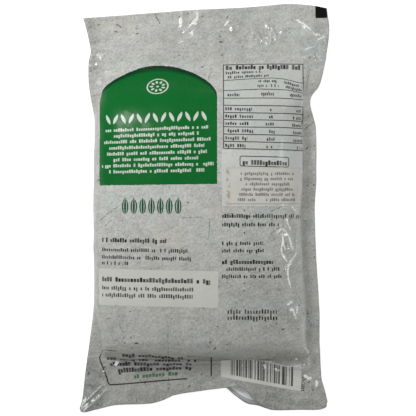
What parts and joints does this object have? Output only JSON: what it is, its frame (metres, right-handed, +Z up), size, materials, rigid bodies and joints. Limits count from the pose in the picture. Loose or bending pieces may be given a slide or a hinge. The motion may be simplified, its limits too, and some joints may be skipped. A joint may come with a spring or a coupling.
{
  "type": "frozen vegetable bag",
  "caption": "Sealed stand-up film bag filled with frozen ivy gourds, lying face down with its printed back up: press-to-close zip, heat-sealed header, side seals and folded bottom gusset.",
  "frame": {"origin": "middle of the bag's outline, on the surface that the bag lies on", "axes": "+X across the bag, to the right seen on the upper, back panel; +Y from the gusset to the header; +Z up, out of the back panel"},
  "size_m": [0.1688, 0.2764, 0.0346],
  "materials": {
    "printed_film": "printed laminate film, semi-gloss, pale grey plaster print",
    "white_film": "plain white film, semi-gloss",
    "zip_plastic": "milky, smooth",
    "label_paper": "uncoated cream paper",
    "gourd_skin": "waxy green skin with pale stripes, frosted"
  },
  "bodies": {
    "root": {"back_panel": "printed_film", "front_panel": "printed_film", "bottom_gusset": "white_film", "zip_track_back": "zip_plastic", "zip_track_front": "zip_plastic", "paper_label": "label_paper", "gourd_01": "gourd_skin", "gourd_02": "gourd_skin", "gourd_03": "gourd_skin", "gourd_04": "gourd_skin", "gourd_05": "gourd_skin", "gourd_06": "gourd_skin", "gourd_07": "gourd_skin", "gourd_08": "gourd_skin", "gourd_09": "gourd_skin", "gourd_10": "gourd_skin", "gourd_11": "gourd_skin", "gourd_12": "gourd_skin", "gourd_13": "gourd_skin", "gourd_14": "gourd_skin", "gourd_15": "gourd_skin", "gourd_16": "gourd_skin", "gourd_17": "gourd_skin", "gourd_18": "gourd_skin", "gourd_19": "gourd_skin", "gourd_20": "gourd_skin", "gourd_21": "gourd_skin", "gourd_22": "gourd_skin", "gourd_23": "gourd_skin", "gourd_24": "gourd_skin", "gourd_25": "gourd_skin", "gourd_26": "gourd_skin", "gourd_27": "gourd_skin", "gourd_28": "gourd_skin", "gourd_29": "gourd_skin", "gourd_30": "gourd_skin", "gourd_31": "gourd_skin", "gourd_32": "gourd_skin", "gourd_33": "gourd_skin", "gourd_34": "gourd_skin", "gourd_35": "gourd_skin", "gourd_36": "gourd_skin", "gourd_37": "gourd_skin", "gourd_38": "gourd_skin", "gourd_39": "gourd_skin", "gourd_40": "gourd_skin"}
  },
  "joints": []
}
